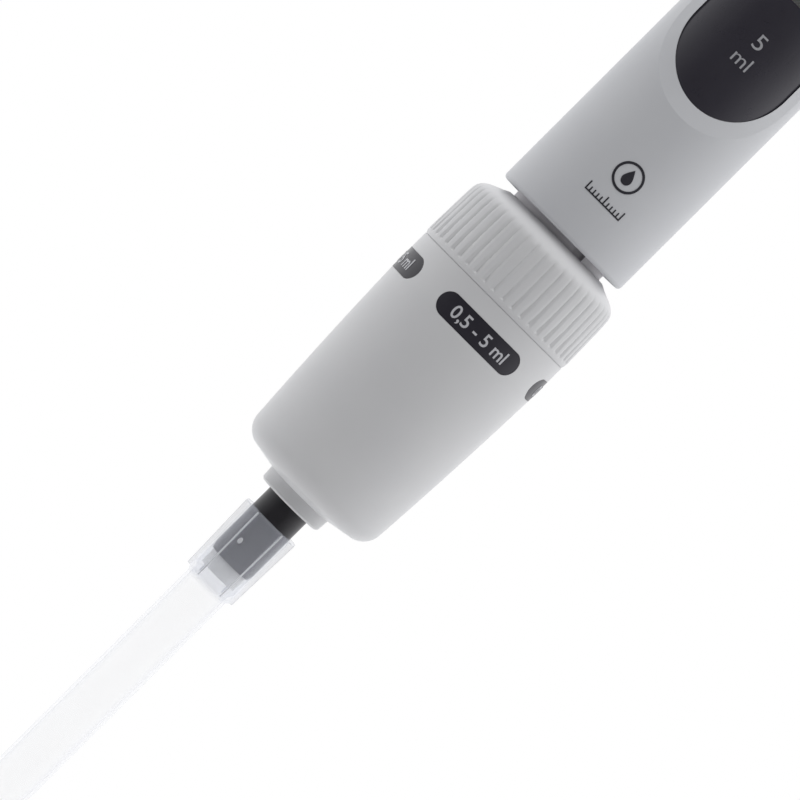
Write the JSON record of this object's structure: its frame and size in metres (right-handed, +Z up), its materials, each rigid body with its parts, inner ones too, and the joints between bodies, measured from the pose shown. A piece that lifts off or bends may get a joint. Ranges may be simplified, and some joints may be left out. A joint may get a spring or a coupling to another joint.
{
  "type": "adjustable micropipette",
  "caption": "Hand-held adjustable piston pipette with volume counter, thumb key, tip ejector, finger hook and a clear disposable tip.",
  "frame": {"origin": "centre of the tip's orifice", "axes": "+Z up the pipette's axis from tip to key, -Y the side with the display, +Y the side with the finger hook"},
  "size_m": [0.0388, 0.056, 0.411],
  "materials": {
    "handle_grey": "fine satin",
    "panel_black": "semi-gloss",
    "lens_clear": "clear",
    "collar_grey": "fine satin",
    "label_black": "printed film",
    "neck_grey": "satin",
    "cone_black": "satin",
    "tip_clear": "clear moulded",
    "filter_white": "sintered",
    "seal_rubber": "matte",
    "spring_steel": "drawn wire",
    "rod_steel": "ground",
    "frame_plastic": "moulded",
    "nut_brass": "machined",
    "screw_steel": "zinc plated",
    "bush_plastic": "low-friction",
    "dial_black": "satin",
    "drum_black": "printed",
    "piston_white": "machined",
    "key_grey": "satin",
    "code_red": "moulded",
    "slider_red": "moulded",
    "slider_grey": "satin"
  },
  "bodies": {
    "handle": {"handle_shell": "handle_grey", "handle_base_ring": "neck_grey", "display_panel": "panel_black", "display_lens": "lens_clear", "inner_frame": "frame_plastic", "frame_screws": "screw_steel", "spindle_nut": "nut_brass", "pinion_axle": "rod_steel", "top_cap": "neck_grey", "dial_bearing": "bush_plastic", "shaft_barrel": "neck_grey", "tip_cone": "cone_black", "cone_seal": "seal_rubber", "cone_filter": "filter_white", "guide_bush": "bush_plastic", "stop_retaining_ring": "rod_steel", "return_spring": "spring_steel", "blowout_spring": "spring_steel", "ejector_spring": "spring_steel"},
    "volume_dial": {"volume_dial": "dial_black", "drive_sleeve": "bush_plastic", "counter_drum_hundredths": "drum_black"},
    "stop_spindle": {"stop_spindle": "nut_brass"},
    "drum_tenths": {"counter_drum_tenths": "drum_black"},
    "drum_ones": {"counter_drum_ones": "drum_black"},
    "pinion_low": {"transfer_pinion_low": "bush_plastic"},
    "pinion_high": {"transfer_pinion_high": "bush_plastic"},
    "plunger": {"pipetting_key": "key_grey", "key_insert": "code_red", "key_stem": "rod_steel", "rod_coupling": "frame_plastic", "push_rod": "rod_steel", "spring_collar": "frame_plastic", "piston_rod": "rod_steel", "piston": "piston_white", "piston_seal": "seal_rubber"},
    "blowout_plate": {"blowout_plate": "rod_steel"},
    "ejector": {"ejector_key": "key_grey", "ejector_yoke": "frame_plastic", "ejector_rod": "rod_steel", "ejector_collar": "collar_grey", "ejector_sleeve": "collar_grey", "range_labels": "label_black"},
    "tip": {"pipette_tip": "tip_clear"},
    "lock_slider": {"lock_slider": "slider_grey"},
    "calibration_slider": {"calibration_slider": "slider_red"}
  },
  "joints": [
    {"name": "volume_dial_turn", "type": "hinge", "parent": "handle", "child": "volume_dial", "pos_m": [0, 0, 0.378], "axis": [0, 0, 1], "range_deg": [-16200, 0]},
    {"name": "spindle_travel", "type": "slide", "parent": "volume_dial", "child": "stop_spindle", "axis": [0, 0, 1], "range_m": [-0.01433, 0]},
    {"name": "drum_tenths_turn", "type": "hinge", "parent": "handle", "child": "drum_tenths", "pos_m": [0, 0, 0.3187], "axis": [0, 0, 1], "range_deg": [-1620, 0]},
    {"name": "drum_ones_turn", "type": "hinge", "parent": "handle", "child": "drum_ones", "pos_m": [0, 0, 0.3259], "axis": [0, 0, 1], "range_deg": [-162, 0]},
    {"name": "pinion_low_turn", "type": "hinge", "parent": "handle", "child": "pinion_low", "pos_m": [-0.01113, 0.00642, 0.3152], "axis": [0, 0, 1], "range_deg": [0, 4050]},
    {"name": "pinion_high_turn", "type": "hinge", "parent": "handle", "child": "pinion_high", "pos_m": [-0.01113, 0.00642, 0.3224], "axis": [0, 0, 1], "range_deg": [0, 405]},
    {"name": "plunger_press", "type": "slide", "parent": "handle", "child": "plunger", "axis": [0, 0, -1], "range_m": [0, 0.01892], "stiffness_N_per_m": 400, "springref_m": -0.008, "deforming": ["return_spring"]},
    {"name": "blowout_travel", "type": "slide", "parent": "handle", "child": "blowout_plate", "axis": [0, 0, -1], "range_m": [0, 0.003], "deforming": ["blowout_spring"]},
    {"name": "ejector_press", "type": "slide", "parent": "handle", "child": "ejector", "axis": [0, 0, -1], "range_m": [0, 0.01], "stiffness_N_per_m": 300, "springref_m": -0.01, "deforming": ["ejector_spring"]},
    {"name": "tip_pull", "type": "slide", "parent": "ejector", "child": "tip", "axis": [0, 0, -1], "range_m": [0, 0.065]},
    {"name": "lock_slide", "type": "slide", "parent": "handle", "child": "lock_slider", "axis": [0, 0, 1], "range_m": [0, 0.003]},
    {"name": "calibration_slide", "type": "slide", "parent": "handle", "child": "calibration_slider", "axis": [0, 0, 1], "range_m": [0, 0.004]}
  ],
  "couplings": [
    {"joint": "spindle_travel", "follows": "volume_dial_turn", "m_per_rad": 0.000050661},
    {"joint": "drum_tenths_turn", "follows": "volume_dial_turn", "ratio": 0.1},
    {"joint": "drum_ones_turn", "follows": "volume_dial_turn", "ratio": 0.01},
    {"joint": "pinion_low_turn", "follows": "volume_dial_turn", "ratio": -0.25},
    {"joint": "pinion_high_turn", "follows": "volume_dial_turn", "ratio": -0.025},
    {"joint": "blowout_travel", "follows": "plunger_press", "ratio": 0.15856}
  ]
}
